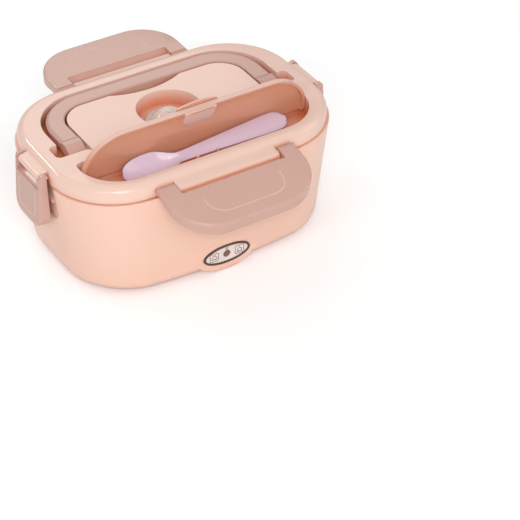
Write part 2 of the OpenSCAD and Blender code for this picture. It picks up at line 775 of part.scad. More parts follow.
// Wider pockets at the front ends of the groove, where the handle turns
module pockets2d(grow) {
    inn = handle_half - handle_w / 2 - groove_gap_in;
    for (s = [0, 1]) mirror([s, 0])
        translate([(inn + pocket_half) / 2, (pocket_back - land_front) / 2])
            plate2d((pocket_half - inn) / 2 + grow, (pocket_back + land_front) / 2 + grow, 4 + grow);
}

module comp2d(grow) {
    d2d(comp_half + grow, comp_front + grow, comp_rear - grow, comp_front_r + grow, comp_rear_r + grow);
}

// Skin of the lid: a flat deck that rounds over into the skirt
module lid_skin() {
    translate([0, 0, deck_z - lid_wall]) linear_extrude(lid_wall) lid2d(lid_edge_r);
    around_lid() {
        translate([-lid_wall, parting_z]) square([lid_wall, lid_h - lid_edge_r]);
        translate([-lid_edge_r - 1, deck_z - lid_wall]) square([1, lid_wall]);
        translate([-lid_edge_r, deck_z - lid_edge_r]) intersection() {
            difference() {
                circle(lid_edge_r);
                circle(lid_edge_r - lid_wall);
            }
            square(lid_edge_r);
        }
    }
}

// Hinge tongue of a latch: a thick lip that flows out of the rim and rolls under, with a stud at each end
module tongue(turns, half, reach, stud) {
    roll_z = deck_z - 8.4;
    root = lid_wall - 0.1;
    on_side(turns) translate([0, -edge_of(turns), 0]) {
        rotate([90, 0, 90]) translate([0, 0, -half]) linear_extrude(2 * half) mirror([1, 0]) {
            translate([reach - roll_r, roll_z]) circle(roll_r);
            polygon([[-root, roll_z - roll_r + skin], [-root, deck_z - 3.4], [0.6, deck_z - 4.5],
                     [reach - roll_r + 0.6, roll_z + roll_r * cos(10)],
                     [reach - roll_r, roll_z - roll_r + skin]]);
        }
        translate([-half - stud, -pivot_out, deck_z - pivot_drop]) rotate([0, 90, 0])
            cylinder(r = stud_r, h = 2 * (half + stud));
    }
}

roll_r = 3.2;
wide_reach = 9;
slim_reach = 7.4;
wide_stud = 5;
slim_stud = 2.6;
cover_sunk = 0.2;
cover_pivot = [0, -comp_rear - cover_pivot_back, deck_z - 2.4];
post_r = 1.1;
post_h = 10;
rest_x = 46;

// A slanted rib carries the spoon's handle, and two posts keep its neck from sliding forward
module spoon_rests() {
    for (x = [-9.8, 7.4])
        translate([x, spoon_tip[1] - 7.2 + (x - spoon_tip[0]) * sin(spoon_yaw), comp_floor - 0.5])
            cylinder(r = post_r, h = post_h, $fn = 24);
    translate([rest_x, spoon_tip[1] + (rest_x - spoon_tip[0]) * sin(spoon_yaw), 0]) rotate([90, 0, 90])
        linear_extrude(2) polygon([[-8, comp_floor - 0.5], [7, comp_floor - 0.5],
                                   [7, rest_top + 7 * tan(spoon_tilt)], [-8, rest_top - 8 * tan(spoon_tilt)]]);
}

module lid_shell() {
    color([0.953, 0.816, 0.757]) difference() {
        union() {
            difference() {
                union() {
                    lid_skin();
                    translate([0, 0, comp_floor - pocket_wall])
                        linear_extrude(comp_depth + pocket_wall - 1) comp2d(pocket_wall);
                    translate([0, 0, groove_floor - pocket_wall])
                        linear_extrude(groove_depth + pocket_wall - 1) groove2d(pocket_wall);
                    translate([0, 0, pocket_floor - pocket_wall])
                        linear_extrude(deck_z - pocket_floor + pocket_wall - 1) pockets2d(pocket_wall);
                    translate([0, vent_rear, vent_floor - pocket_wall])
                        cylinder(r = vent_r + pocket_wall, h = vent_depth + pocket_wall - 1);
                }
                translate([0, 0, comp_floor]) linear_extrude(30) comp2d(0);
                translate([0, 0, groove_floor]) linear_extrude(30) groove2d(0);
                translate([0, 0, pocket_floor]) linear_extrude(30) pockets2d(0);
                translate([0, vent_rear, vent_floor]) cylinder(r = vent_r, h = 30);
            }
            for (turns = [0, 2]) tongue(turns, wide_tongue_half, wide_reach, wide_stud);
            for (turns = [1, 3]) tongue(turns, slim_tongue_half, slim_reach, slim_stud);
            spoon_rests();
            // Studs that the handle's arms turn on
            for (s = [-1, 1]) translate(handle_pivot)
                translate([s * (handle_half - handle_w / 2 - groove_gap_in), 0, 0]) rotate([0, 90, 0])
                    translate([0, 0, s > 0 ? -1.5 : -6.1]) cylinder(r = handle_stud_r, h = 7.6);
        }
        // Bearing holes of the spoon cover, and the steam hole
        for (s = [-1, 1]) translate(cover_pivot) translate([s * (comp_half + 1), 0, 0]) rotate([0, 90, 0])
            cylinder(r = cover_pin_r + turn, h = 4, center = true);
        translate([0, vent_rear, vent_floor - 5]) cylinder(r = plug_hole_r, h = 10);
    }
}

module lid_liner() {
    color([0.93, 0.80, 0.74]) difference() {
        union() {
            around_lid() {
                translate([-pan_in - pan_wall, pan_floor]) square([pan_wall, pan_h]);
                translate([-pan_in - pan_wall, pan_top - 1.6]) square([pan_in + pan_wall - lid_wall - seat, 1.6]);
            }
            translate([0, 0, pan_floor]) linear_extrude(pan_wall) lid2d(pan_in + pan_wall / 2);
        }
        translate([0, vent_rear, pan_floor - 1]) cylinder(r = plug_hole_r + 1, h = 5);
    }
}

module lid_gasket() {
    color([0.86, 0.85, 0.84]) around_lid()
        translate([-pan_in + 0.4, base_top + 0.2]) square([seal_w, pan_top - 1.6 - seat / 2 - base_top - 0.2]);
}

// ---------------------------------------------------------------- handle

// Section of the handle's bar: flat on top, with a bevelled outer edge
module bar_section() {
    w = handle_w / 2;
    bevel = 2.2;
    polygon([[-w, 0], [-w, handle_t - 0.8], [-w + 0.8, handle_t], [w - bevel, handle_t],
             [w, handle_t - bevel], [w, 0.8], [w - 0.8, 0], [-w + 0.8, -skin]]);
}

module handle() {
    low = deck_z + handle_proud - handle_t;
    knuckle_r = 4.3;
    arm_start = 6;
    bend_y = handle_rear - handle_bend_r;
    color([0.84, 0.68, 0.635]) difference() {
        union() {
            translate([0, 0, low]) {
                for (s = [0, 1]) mirror([s, 0, 0]) {
                    translate([handle_half - handle_bend_r, bend_y, 0])
                        rotate_extrude(angle = 90, $fn = 96) translate([handle_bend_r, 0]) bar_section();
                    translate([handle_half, bend_y, 0]) rotate([90, 0, 0])
                        linear_extrude(bend_y - arm_start) bar_section();
                }
                translate([-(handle_half - handle_bend_r), handle_rear, 0]) rotate([90, 0, 90])
                    linear_extrude(2 * (handle_half - handle_bend_r)) bar_section();
            }
            // Sloping ends of the arms, with the knuckles that hold the studs
            for (s = [-1, 1]) translate([s * handle_half - handle_w / 2, 0, 0]) rotate([90, 0, 90])
                linear_extrude(handle_w) {
                    polygon([[arm_start + skin, low], [arm_start + skin, low + handle_t - 0.4], [0.4, low + handle_t],
                             [-5.2, low + handle_t - 3.0], [-6.8, low + handle_t - 4.8],
                             [-6.8, handle_pivot[2]]]);
                    translate([-handle_pivot_front, handle_pivot[2]]) circle(knuckle_r);
                }
        }
        for (s = [-1, 1]) translate(handle_pivot) translate([s * (handle_half - handle_w / 2), 0, 0])
            rotate([0, 90, 0]) translate([0, 0, s > 0 ? -1 : -5]) cylinder(r = handle_stud_r + turn, h = 6);
    }
}

// ---------------------------------------------------------------- latches

// A latch lying flat, face up: its pivot runs along X through the origin and its tip points to -Y
module latch(half, length, corner_r, slot_half, hook_reach, hook_half, ear_stud) {
    edge = 2;
    deep = 14;
    rib_drop = (deck_z - pivot_drop) - (rib_z - 0.3);
    slope = atan(latch_deepen / wide_len);
    ear_r = face_out - 0.6;
    // Slanted wall that closes the shell along the slot
    rotate([90, 0, 90]) translate([0, 0, -slot_half - 0.5]) linear_extrude(2 * slot_half + 1)
        polygon([[-slot_end, face_out - 0.5], [0.5 - slot_end, 2], [3 - slot_end, -1.4],
                 [1.6 - slot_end, -1.4], [-slot_end - latch_wall, 2.1], [-slot_end - latch_wall, face_out - 0.5]]);
    difference() {
        union() {
            difference() {
                latch_block(half, length, corner_r, deep, 0, edge);
                translate([0, 0, -latch_wall])
                    latch_block(half - latch_wall, length - latch_wall, corner_r - latch_wall, deep, 0.5, 0.5);
            }
            // Ears beside the tongue
            for (s = [0, 1]) mirror([s, 0, 0]) translate([slot_half, 0, 0]) rotate([90, 0, 90])
                linear_extrude(half - latch_wall + 0.5 - slot_half) {
                    circle(ear_r);
                    polygon([[0, -ear_r], [0, ear_r], [-2.6, face_out], [-slot_end, face_out], [-slot_end, -3]]);
                }
            // Hook that snaps under the base's rib
            translate([-hook_half, -rib_drop - 2, -hook_reach])
                cube([2 * hook_half, 2, hook_reach + face_out - 1]);
        }
        // Rear side of the latch, deeper towards the tip
        rotate([slope, 0, 0]) translate([-100, -100, face_out - latch_deep_top - 40])
            difference() {
                cube([200, 100, 40]);
                rotate([-slope, 0, 0]) translate([100 - hook_half - 0.1, 100 - rib_drop - 2.3, 30])
                    cube([2 * hook_half + 0.2, 3, 30]);
            }
        // Slot round the tongue, and free space behind the ears
        translate([-slot_half, -slot_end, -20]) cube([2 * slot_half, 60, 40]);
        translate([-100, 0, -20]) difference() {
            cube([200, 20, 40]);
            translate([0, 0, 20]) rotate([0, 90, 0]) cylinder(r = ear_r, h = 200);
        }
        for (s = [-1, 1]) translate([s * slot_half, 0, 0]) rotate([0, 90, 0])
            cylinder(r = stud_r + turn, h = 2 * ear_stud, center = true);
    }
}

// Solid block with the latch's outline: two large corners at the tip and a rounded edge on the face
module latch_block(half, length, corner_r, deep, slack, edge) {
    top = 6;
    module edge2d() {
        polygon([[0, -deep], [0, face_out - edge], [-edge, face_out], [-corner_r, face_out], [-corner_r, -deep]]);
        translate([-edge, face_out - edge]) circle(edge, $fn = 32);
    }
    for (s = [0, 1]) mirror([s, 0, 0])
        translate([half - corner_r, corner_r - length, 0]) rotate(-90)
            rotate_extrude(angle = 90, $fn = 96) translate([corner_r, 0]) edge2d();
    for (s = [0, 1]) mirror([s, 0, 0]) translate([half - corner_r, top, 0])
        rotate([90, 0, 0]) linear_extrude(top + length - corner_r) translate([corner_r, 0]) edge2d();
    translate([-(half - corner_r), corner_r - length, 0]) rotate([90, 0, 90])
        linear_extrude(2 * (half - corner_r)) mirror([1, 0]) translate([corner_r, 0]) edge2d();
    translate([-(half - corner_r), corner_r - length - skin, -deep])
        cube([2 * (half - corner_r), top + length - corner_r + skin, deep + face_out]);
}

// Places a latch on a side of the lid, turned out from the vertical by an angle
module hang(turns, angle) {
    on_side(turns) translate([0, -edge_of(turns) - pivot_out, deck_z - pivot_drop])
        rotate([90 - angle, 0, 0]) children();
}

module wide_latch() {
    latch(wide_half, wide_len, wide_corner_r, wide_tongue_half + 1, 5.8, 28, wide_stud + 0.5);
}

module slim_latch() {
    latch(slim_half, slim_len, slim_corner_r, slim_tongue_half + 0.6, 4.8, 12, slim_stud + 0.2);
}

module front_latch() { color([0.84, 0.68, 0.62]) hang(0, front_open) wide_latch(); }
module rear_latch() { color([0.84, 0.68, 0.62]) hang(2, rear_open) wide_latch(); }
module right_latch() { color([0.84, 0.68, 0.62]) hang(1, side_open) slim_latch(); }
module left_latch() { color([0.84, 0.68, 0.62]) hang(3, side_open) slim_latch(); }

// ---------------------------------------------------------------- spoon cover, spoon and vent plug

module spoon_cover() {
    top = deck_z - cover_sunk;
    half = comp_half - cover_gap;
    front = comp_front - cover_gap;
    rear = comp_rear + cover_gap;
    front_r = comp_front_r - cover_gap;
    rear_r = comp_rear_r - cover_gap;
    rim = cover_rim_w;
    color([0.82, 0.56, 0.48]) translate(cover_pivot) rotate([-cover_open, 0, 0]) translate(-cover_pivot) {
        difference() {
            translate([0, 0, top - cover_rim_h]) linear_extrude(cover_rim_h)
                d2d(half, front, rear, front_r, rear_r);
            translate([0, 0, top - cover_rim_h - 1]) linear_extrude(cover_rim_h - cover_t + 1)
                d2d(half - rim, front - rim, rear - rim, front_r - rim, rear_r);
        }
        for (s = [-1, 1]) translate(cover_pivot) translate([s * (half - 1), 0, 0]) rotate([0, 90, 0])
            translate([0, 0, s > 0 ? 0 : -1 - cover_gap - 1.3])
                cylinder(r = cover_pin_r, h = 1 + cover_gap + 1.3);
        // Thumb tab over the compartment's front edge, and the lip that snaps inside it
        translate([0, 0, deck_z + 0.3]) linear_extrude(1.4) intersection() {
            translate([0, -front - tab_reach + 60]) circle(60, $fn = 180);
            translate([-tab_half, -front - tab_reach]) square([2 * tab_half, tab_reach + 6]);
        }
        translate([-tab_half, -front + 3, top - skin]) cube([2 * tab_half, 3, deck_z + 0.4 - top]);
        translate([-10, -front + 0.2, top - cover_rim_h - 2]) cube([20, 1.4, cover_rim_h]);
    }
}

// Half-width of the spoon at a distance from its tip
function spoon_half(s) =
    let (bowl = bowl_w / 2 * pow(max(0, 1 - pow(abs(2 * s / bowl_len - 1), 2.2)), 1 / 2.2),
         fade = min(1, max(0, (s - 0.62 * bowl_len) / (0.5 * bowl_len))),
         blend = (1 - cos(180 * fade)) / 2,
         grip_end = spoon_len - grip_w / 2,
         grip = neck_w / 2 + (grip_w - neck_w) / 2 * min(1, max(0, (s - 52) / (grip_end - 52 - 8))),
         tip = s < grip_end ? 1 : sqrt(max(0, 1 - pow((s - grip_end) / (grip_w / 2 + 0.3), 2))))
    max(0.5, (s < bowl_len ? bowl * (1 - blend) : 0) + grip * blend * tip);

// Depth of the bowl's hollow under the rim at a distance from the tip
function hollow(s) = bowl_depth * pow(sin(180 * min(1, max(0, s / (1.06 * bowl_len)))), 0.75);

// Cross-section of the spoon: upper edge from left to right, then lower edge back
function spoon_section(s, n = 8) =
    let (w = spoon_half(s), h = hollow(s), crown = s > 56 ? 1.2 * min(1, (s - 56) / 20) : 0)
    concat([for (i = [0 : n]) let (u = -1 + 2 * i / n) [u * w, (crown - h) * (1 - u * u)]],
           [for (i = [n : -1 : 0]) let (u = -1 + 2 * i / n)
               [u * (w - 0.15), (crown / 3 - h) * (1 - u * u) - spoon_t * (0.5 + 0.5 * sqrt(1 - 0.9 * u * u))]]);

module spoon_body() {
    stations = [for (i = [0 : 40]) let (t = i / 40) spoon_len * (t - 0.45 * sin(360 * t) / 6.2832)];
    rings = [for (s = stations) spoon_section(min(spoon_len - 0.1, max(0.1, s)))];
    n = len(rings[0]);
    k = len(rings);
    polyhedron(
        points = [for (j = [0 : k - 1]) for (p = rings[j]) [stations[j], p[0], p[1]]],
        faces = concat([[for (i = [n - 1 : -1 : 0]) i]],
                       [for (j = [0 : k - 2]) for (i = [0 : n - 1])
                           [j * n + (i + 1) % n, (j + 1) * n + (i + 1) % n, (j + 1) * n + i, j * n + i]],
                       [[for (i = [0 : n - 1]) (k - 1) * n + i]]),
        convexity = 4);
}

module spoon() {
    color([0.875, 0.765, 0.824])
        translate(spoon_tip) rotate([0, 0, spoon_yaw]) rotate([spoon_tilt, 0, 0]) spoon_body();
}

module vent_plug() {
    plug_flange_t = 1.6;
    dome_h = 9.2;
    color([0.93, 0.88, 0.86]) translate([0, vent_rear, vent_floor + seat / 2]) {
        rotate_extrude($fn = 96) {
            square([plug_flange_r, plug_flange_t]);
            difference() {
                intersection() {
                    dome_sphere = (plug_dome_r * plug_dome_r + dome_h * dome_h) / (2 * dome_h);
                    translate([0, plug_flange_t + dome_h - dome_sphere]) circle(dome_sphere, $fn = 128);
                    translate([0, plug_flange_t - 0.2]) square([plug_dome_r, dome_h + 1]);
                }
                translate([3.4, plug_flange_t + dome_h - 0.9]) square([1.6, 2]);
            }
            translate([0, -3.6]) square([plug_hole_r - 0.3, 4]);
        }
    }
}

// ---------------------------------------------------------------- food container

// Where the container's wall and foot lie, measured from the lid's edge
wall_out = -tub_in - tub_rim_w + tub_wall / 2;
foot_out = wall_out - tub_draft;
foot_z = tub_low + tub_round;
divider_top = tub_top - 2;

// Half-section of the container: rim, slanted wall, rounded foot
module tub_profile() {
    difference() {
        union() {
            translate([wall_out - tub_wall, tub_top - tub_rim_h])
                square([-tub_in - wall_out + tub_wall, tub_rim_h]);
            polygon([[wall_out, tub_top - 0.5], [foot_out, foot_z],
                     [foot_out - tub_round, foot_z - tub_round / 2], [wall_out - tub_round, tub_top - 0.5]]);
            translate([foot_out - tub_round, foot_z]) circle(tub_round, $fn = 96);
        }
        polygon([[wall_out - tub_wall, tub_top + 1], [wall_out - tub_wall, tub_top - 0.5],
                 [foot_out - tub_wall, foot_z], [foot_out - tub_round, tub_low + tub_wall],
                 [foot_out - 40, tub_low + tub_wall], [foot_out - 40, tub_top + 1]]);
        translate([foot_out - tub_round, foot_z]) circle(tub_round - tub_wall, $fn = 96);
        translate([foot_out - 60, tub_low - 50]) square([60 - tub_round - 2, 200]);
        // Undercut of the rim, so that it stands out as a thin lip
        translate([wall_out + 0.9, tub_top - tub_rim_h - 1]) square([-tub_in - wall_out - 1.8, tub_rim_h + 0.1]);
    }
}

// Section across the container, shrunk from its outer skin by inset, and carried down below its foot by drop
function tub_section(inset, drop) =
    let (mid = lid_half_y + foot_out - tub_round - drop / 2,
         bend = tub_round - inset,
         side = concat([for (a = [-90 : 22.5 : 0]) [mid + bend * cos(a), foot_z + bend * sin(a)]],
                       [[lid_half_y + wall_out - inset - drop / 2, tub_top]]),
         half = drop > 0 ? concat([[mid, tub_low - drop]], side) : side)
    concat(half, [for (i = [len(half) - 1 : -1 : 0]) [-half[i][0], half[i][1]]]);

// Divider: a wedge across the container, drawn from its outline from the front and from the side
module divider(half_w, top, low, inset, drop) {
    intersection() {
        translate([divider_x, lid_half_y, 0]) rotate([90, 0, 0]) linear_extrude(2 * lid_half_y)
            polygon([[-half_w - 3, low], [-half_w, top], [half_w, top], [half_w + 3, low]]);
        translate([divider_x - 20, 0, 0]) rotate([90, 0, 90])
            linear_extrude(40) polygon(tub_section(inset, drop));
    }
}

module food_container() {
    color([0.93, 0.92, 0.92, 0.5]) difference() {
        union() {
            around_lid() tub_profile();
            translate([0, 0, tub_low]) linear_extrude(tub_wall) lid2d(tub_round - foot_out - 1);
            divider(divider_w / 2, divider_top, tub_low, tub_wall / 2, 0);
        }
        // The divider is hollow from below
        divider(divider_w / 2 - tub_wall, divider_top - tub_wall, tub_low - 1, 1.5 * tub_wall, 1);
    }
}

cap_rim = 2.6;
dimple_r = 11;
dimple_deep = 1.6;
dimple_sphere = 23;
plug_stem_r = 1.5;
dimple_x = divider_x + 19;
dimple_y = -34;

// Outline of the small lid: straight along the divider, with two corners that follow the container
module cap2d(inset) {
    left = divider_x + divider_w / 2 + inset;
    difference() {
        lid2d(tub_in + tub_rim_w + tub_wall / 2 + 0.6 + inset);
        translate([-200 + left, -100]) square([200, 200]);
    }
}

module container_lid() {
    color([0.83, 0.685, 0.608]) translate([0, 0, tub_top - 2 + seat]) difference() {
        union() {
            linear_extrude(3.4) difference() {
                cap2d(0);
                cap2d(cap_rim);
            }
            linear_extrude(cap_t) cap2d(cap_rim / 2);
            // Pull tab on the straight edge
            translate([divider_x + divider_w / 2, 0, 2.2]) intersection() {
                cylinder(r = 11, h = 1.2, $fn = 96);
                translate([-5, -11, 0]) cube([6, 22, 2]);
            }
            translate([dimple_x, dimple_y, -dimple_deep - cap_t]) cylinder(r = dimple_r, h = dimple_deep + 2 * cap_t);
        }
        // Oval finger dimple, with the seat of its plug
        translate([dimple_x, dimple_y, dimple_sphere - dimple_deep]) sphere(r = dimple_sphere, $fn = 96);
        translate([dimple_x - 1, dimple_y, -5]) cylinder(r = plug_stem_r + seat, h = 8);
    }
}

module container_plug() {
    color([0.93, 0.86, 0.84]) translate([dimple_x - 1, dimple_y, tub_top - 2 + seat]) {
        translate([0, 0, -dimple_deep - cap_t]) cylinder(r = plug_stem_r, h = cap_t + 0.6);
        intersection() {
            translate([0, 0, -dimple_deep - 0.4]) sphere(r = 3.6);
            translate([0, 0, 0.4 - dimple_deep]) cylinder(r = 3, h = 4);
        }
    }
}

base_shell();
well_liner();
plate_seal();
heating_plate();
heater_element();
heater_bracket();
thermostat();
thermal_fuse();
bottom_cover();
cover_screws();
bracket_screws();
rubber_feet();
panel_bezel();
panel_plate();
led_lens();
indicator_board();
inlet_socket();
inlet_pins();
wiring();
lid_shell();
lid_liner();
lid_gasket();
handle();
front_latch();
rear_latch();
left_latch();
right_latch();
spoon_cover();
spoon();
vent_plug();
food_container();
container_lid();
container_plug();
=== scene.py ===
import json
import math

import bmesh
import bpy
from mathutils import Matrix, Vector


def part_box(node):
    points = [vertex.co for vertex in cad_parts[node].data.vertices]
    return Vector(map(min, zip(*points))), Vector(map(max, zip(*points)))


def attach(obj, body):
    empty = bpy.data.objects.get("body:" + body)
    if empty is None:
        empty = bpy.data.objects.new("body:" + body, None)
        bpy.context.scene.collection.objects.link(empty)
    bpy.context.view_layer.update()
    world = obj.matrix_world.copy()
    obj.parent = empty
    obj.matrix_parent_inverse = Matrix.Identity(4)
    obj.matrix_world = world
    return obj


bl_info = {
    "name": "Heated Lunch Box Dresser",
    "version": (1, 0, 0),
    "blender": (4, 5, 0),
    "location": "View3D > Sidebar > Lunch Box",
    "description": "Dresses the packed lunch box with moulded plastics, seals, symbols and a small studio",
    "category": "Object",
}

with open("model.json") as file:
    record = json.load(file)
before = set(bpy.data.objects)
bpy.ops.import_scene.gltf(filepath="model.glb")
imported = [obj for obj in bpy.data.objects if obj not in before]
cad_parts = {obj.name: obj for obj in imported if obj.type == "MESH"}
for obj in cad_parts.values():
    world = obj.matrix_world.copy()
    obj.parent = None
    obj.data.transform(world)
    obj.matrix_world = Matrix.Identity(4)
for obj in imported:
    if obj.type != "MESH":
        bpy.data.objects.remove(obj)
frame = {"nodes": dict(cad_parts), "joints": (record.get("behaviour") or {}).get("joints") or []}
NODES = frame["nodes"]
JOINTS = {joint["name"]: joint for joint in frame["joints"]}
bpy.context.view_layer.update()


def linear(red, green, blue):
    """Screen colour from 0 to 255 as the linear colour that shaders take."""
    out = []
    for value in (red, green, blue):
        c = value / 255
        out.append(c / 12.92 if c <= 0.04045 else ((c + 0.055) / 1.055) ** 2.4)
    return tuple(out)


# ---------------------------------------------------------------- settings


def colour(name, description, value):
    return bpy.props.FloatVectorProperty(
        name=name, description=description, subtype="COLOR", size=3, min=0.0, max=1.0, default=value
    )


def length(name, description, value):
    return bpy.props.FloatProperty(
        name=name, description=description, default=value, min=0.0, unit="LENGTH", subtype="DISTANCE"
    )


def power(name, description, value):
    return bpy.props.FloatProperty(name=name, description=description, default=value, min=0.0, unit="POWER")


def share(name, description, value):
    return bpy.props.FloatProperty(name=name, description=description, default=value, min=0.0)


class LunchBoxColours(bpy.types.PropertyGroup):
    """Colours of the mouldings"""

    base: colour("Base", "Apricot polypropylene of the base", linear(249, 206, 186))
    lid: colour("Lid", "Pale apricot polypropylene of the lid", linear(243, 207, 191))
    # Painted shade: this darker warm colour goes into the base's hollows and corners, standing in for shade
    # and for light passed through the plastic
    deep: colour("Hollows", "Warm apricot deep in the hollows of the base", linear(222, 116, 66))
    # Painted shade for the hollows under the lid's deck
    lid_hollow_shade_colour: colour("Lid hollows", "Warm apricot deep under the lid's deck", linear(228, 134, 86))
    # Painted shade in the spoon's bowl
    lilac_hollow_shade_colour: colour("Lilac hollows", "Lilac deep in the spoon's bowl", linear(196, 156, 184))
    # Painted shade in the hollows of handle and clips
    rose_hollow_shade_colour: colour("Rose hollows", "Warm rose in the hollows of handle and clips", linear(196, 134, 112))
    liner: colour("Liner", "Pale polypropylene of the well and the lid pan", linear(245, 222, 211))
    rose: colour("Rose", "Dusty rose of the handle and the clips", linear(211, 170, 156))
    # Painted highlight: a paler copy of the rose, standing in for the light the bead catches
    bead: colour("Bead", "Dusty rose where the clip's bead catches light", linear(232, 196, 184))
    # Partly the cover's own rose, partly painted light: its extra warmth stands in for light bouncing in and
    # passing through the cover
    cover: colour("Cover", "Warm dusty rose of the spoon cover", linear(224, 161, 132))
    # Painted light: a paler rose standing in for light coming through the cover's rim
    rim: colour("Cover rim", "Pale rose where light comes through the cover's rim", linear(236, 198, 184))
    cap: colour("Small lid", "Dusty rose of the container's small lid", linear(213, 176, 158))
    spoon: colour("Spoon", "Pale lilac of the spoon", linear(226, 202, 219))
    silicone: colour("Silicone", "Milky silicone of the plugs", linear(248, 226, 218))
    clear: colour("Clear", "Milky clear polypropylene of the container", linear(250, 250, 250))
    ring: colour("Panel ring", "Dark brown ring of the panel", linear(92, 66, 62))
    plate: colour("Panel plate", "Grey pink plate of the panel", linear(240, 226, 220))
    print: colour("Print", "Brown print on the panel", linear(92, 70, 66))
    frosted: colour("Pad", "Frosted pad under the cover's tab", linear(236, 198, 184))


class LunchBoxSizes(bpy.types.PropertyGroup):
    """Sizes of the small details"""

    edge: length("Edge round", "Shaded rounding of the moulded edges", 0.0004)
    clip_edge: length("Clip edge round", "Shaded rounding of the edges of the handle and the clips", 0.0008)
    line: length("Print line", "Width of the printed lines on the panel", 0.0004)
    film: length("Print film", "Thickness of the print on the panel", 0.00008)
    symbol: length("Symbol", "Size of the printed frames beside the light", 0.0072)
    sign: length("Standby sign", "Radius of the standby sign", 0.00095)
    bead: length("Bead", "Radius of the raised bead on the clips", 0.0005)
    pad: length("Pad edge", "Rounding of the pad under the cover's thumb tab", 0.0004)


class LunchBoxStage(bpy.types.PropertyGroup):
    """Light and floor"""

    sky: share("Sky", "Strength of the even light", 0.47)
    glow: share("Floor glow", "Light that only the camera sees on the floor", 0.23)
    key: power("Key", "Power of the main lamp", 6.2)
    strip: power("Strips", "Power of each window strip", 2.2)
    fill: power("Fill", "Power of the lamps behind and right", 2.8)


# ---------------------------------------------------------------- finishes

# Height range just under the lid's deck in which its painted warm shade begins
LID_DECK = (0.0855, 0.0945)
# Reach of a hollow, and the shares of open space at which the painted warm shade is full and gone
HOLLOW_SHADE = {"reach": 0.009, "full": 0.1, "gone": 0.72}
LID_HOLLOW_SHADE = {"reach": 0.017, "full": 0.27, "gone": 0.8, "deck": LID_DECK}
COVER_OPEN = 79.0
# Away from the hinge along the opened cover
RIM_WAY = (0.0, -math.cos(math.radians(COVER_OPEN)), math.sin(math.radians(COVER_OPEN)))
# How squarely a face looks that way where the painted rim light starts, and where it is full
RIM_RANGE = (0.45, 0.9)
PLASTIC_IOR, MILKY_IOR = 1.48, 1.3
GLOSS_SPREAD = (-0.03, 0.04)
BRUSHED_SPREAD = (-0.08, 0.12)
MILKY_SPREAD = (-0.05, 0.08)
# Spread of red, green and blue light under the surface, and how deep it goes
PLASTIC_SCATTER = ((1.0, 0.55, 0.4), 0.004)
MILKY_SCATTER = ((1.0, 0.6, 0.5), 0.005)
# Noise is stretched across X to make brush lines along it
BRUSH_SCALE = (4.0, 900.0, 900.0)


def new_material(name):
    made = bpy.data.materials.new(name)
    made.use_nodes = True
    return made, made.node_tree, made.node_tree.nodes["Principled BSDF"]


def node(tree, kind, **values):
    """A node with its sockets or its own settings set by name."""
    made = tree.nodes.new(kind)
    for key, value in values.items():
        if key in made.inputs:
            made.inputs[key].default_value = value
        else:
            setattr(made, key, value)
    return made


def ramp(tree, low, high, ends=("From Min", "From Max")):
    """A range node with one pair of its ends set."""
    made = node(tree, "ShaderNodeMapRange")
    for end, value in zip(ends, (low, high)):
        made.inputs[end].default_value = value
    return made


def gloss(tree, shader, source, rough, spread):
    """Roughness that wanders a little with a noise."""
    spreader = ramp(tree, rough + spread[0], rough + spread[1], ("To Min", "To Max"))
    tree.links.new(source, spreader.inputs["Value"])
    tree.links.new(spreader.outputs["Result"], shader.inputs["Roughness"])


def scatter(shader, weight, radii, depth):
    """Light that spreads under the surface."""
    shader.inputs["Subsurface Weight"].default_value = weight
    shader.inputs["Subsurface Radius"].default_value = radii
    shader.inputs["Subsurface Scale"].default_value = depth


def painted_hollow_shade(tree, place, pale, deep, reach, full, gone, deck=None):
    """Painted shade: colour that turns warm and darker in hollows and corners, standing in for light that has
    passed through the plastic there.
    """
    link = tree.links.new
    openness = node(tree, "ShaderNodeAmbientOcclusion", Distance=reach, samples=8)
    shallow = ramp(tree, full, gone)
    link(openness.outputs["AO"], shallow.inputs["Value"])
    pale_share = shallow.outputs["Result"]
    if deck:
        # Only what lies below the deck gets the painted warm shade
        axes = node(tree, "ShaderNodeSeparateXYZ")
        height = ramp(tree, *deck)
        greater = node(tree, "ShaderNodeMath", operation="MAXIMUM")
        link(place.outputs["Object"], axes.inputs[0])
        link(axes.outputs["Z"], height.inputs["Value"])
        link(pale_share, greater.inputs[0])
        link(height.outputs["Result"], greater.inputs[1])
        pale_share = greater.outputs[0]
    warm = node(tree, "ShaderNodeMix", data_type="RGBA")
    warm.inputs[6].default_value = (*deep, 1)
    link(pale_share, warm.inputs["Factor"])
    link(pale, warm.inputs[7])
    return warm.outputs[2]


def painted_rim_light(tree, place, body, rim):
    """Painted light: colour that turns paler where the surface faces away from the hinge, standing in for the
    light that the rim lets through.
    """
    link = tree.links.new
    facing = node(tree, "ShaderNodeVectorMath", operation="DOT_PRODUCT")
    facing.inputs[1].default_value = RIM_WAY
    squareness = ramp(tree, *RIM_RANGE)
    pale = node(tree, "ShaderNodeMix", data_type="RGBA")
    pale.inputs[7].default_value = (*rim, 1)
    link(place.outputs["Normal"], facing.inputs[0])
    link(facing.outputs["Value"], squareness.inputs["Value"])
    link(squareness.outputs["Result"], pale.inputs["Factor"])
    link(body, pale.inputs[6])
    return pale.outputs[2]


